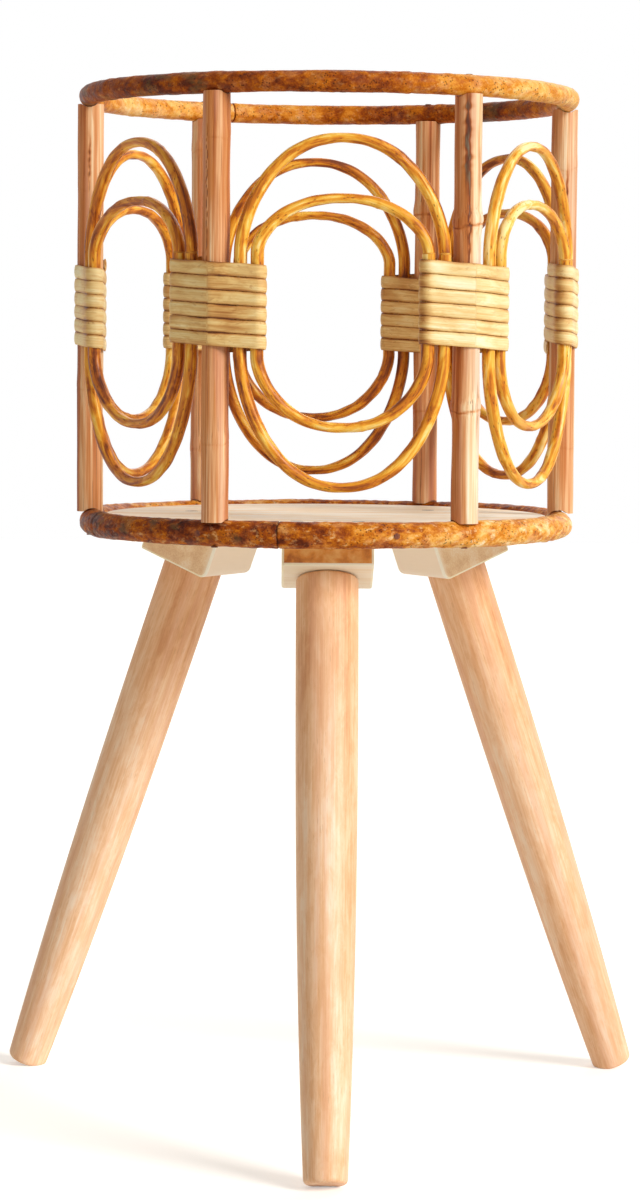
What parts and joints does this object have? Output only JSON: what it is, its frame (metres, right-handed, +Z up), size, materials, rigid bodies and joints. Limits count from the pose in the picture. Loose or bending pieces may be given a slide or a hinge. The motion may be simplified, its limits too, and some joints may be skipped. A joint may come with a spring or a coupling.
{
  "type": "plant stand",
  "caption": "Round rattan plant stand: a cage of bent poles, looped canes and wound bindings around a pot board, on splayed, tapered wooden legs.",
  "frame": {"origin": "on the floor, under the middle of the stand's outline; the cage's axis is 39.8 mm behind it", "axes": "+Z up; the single front leg points towards -Y and the other two towards +X+Y and -X+Y"},
  "size_m": [0.4024, 0.381, 0.6201],
  "materials": {
    "ring_bark": "bent rattan pole with its mottled bark left on, satin lacquer",
    "post_pole": "skinned rattan pole, fine upright streaks, satin lacquer",
    "loop_cane": "thin golden cane with brown speckled patches, satin lacquer",
    "binding_strip": "flat split-cane strip, bark side out, satin",
    "leg_beech": "turned pale hardwood, clear matt lacquer",
    "block_wood": "sawn and sanded pale softwood",
    "board_wood": "sanded pale plywood, unfinished",
    "steel": "plain bright steel",
    "brass": "plain turned brass"
  },
  "bodies": {
    "root": {"top_ring": "ring_bark", "base_ring": "ring_bark", "post_1": "post_pole", "post_2": "post_pole", "post_3": "post_pole", "post_4": "post_pole", "post_5": "post_pole", "post_6": "post_pole", "large_loop_1": "loop_cane", "large_loop_2": "loop_cane", "large_loop_3": "loop_cane", "large_loop_4": "loop_cane", "large_loop_5": "loop_cane", "large_loop_6": "loop_cane", "small_loop_1": "loop_cane", "small_loop_2": "loop_cane", "small_loop_3": "loop_cane", "small_loop_4": "loop_cane", "small_loop_5": "loop_cane", "small_loop_6": "loop_cane", "binding_1": "binding_strip", "binding_2": "binding_strip", "binding_3": "binding_strip", "binding_4": "binding_strip", "binding_5": "binding_strip", "binding_6": "binding_strip", "base_board": "board_wood", "leg_block_front": "block_wood", "leg_block_right": "block_wood", "leg_block_left": "block_wood", "leg_front": "leg_beech", "leg_right": "leg_beech", "leg_left": "leg_beech", "top_nail_1": "steel", "top_nail_2": "steel", "top_nail_3": "steel", "top_nail_4": "steel", "top_nail_5": "steel", "top_nail_6": "steel", "base_nail_1": "steel", "base_nail_2": "steel", "base_nail_3": "steel", "base_nail_4": "steel", "base_nail_5": "steel", "base_nail_6": "steel", "board_nail_1": "steel", "board_nail_2": "steel", "board_nail_3": "steel", "block_screw_1": "steel", "block_screw_2": "steel", "block_screw_3": "steel", "block_screw_4": "steel", "block_screw_5": "steel", "block_screw_6": "steel", "hanger_bolt_front": "steel", "hanger_bolt_right": "steel", "hanger_bolt_left": "steel", "leg_insert_front": "brass", "leg_insert_right": "brass", "leg_insert_left": "brass"}
  },
  "joints": []
}
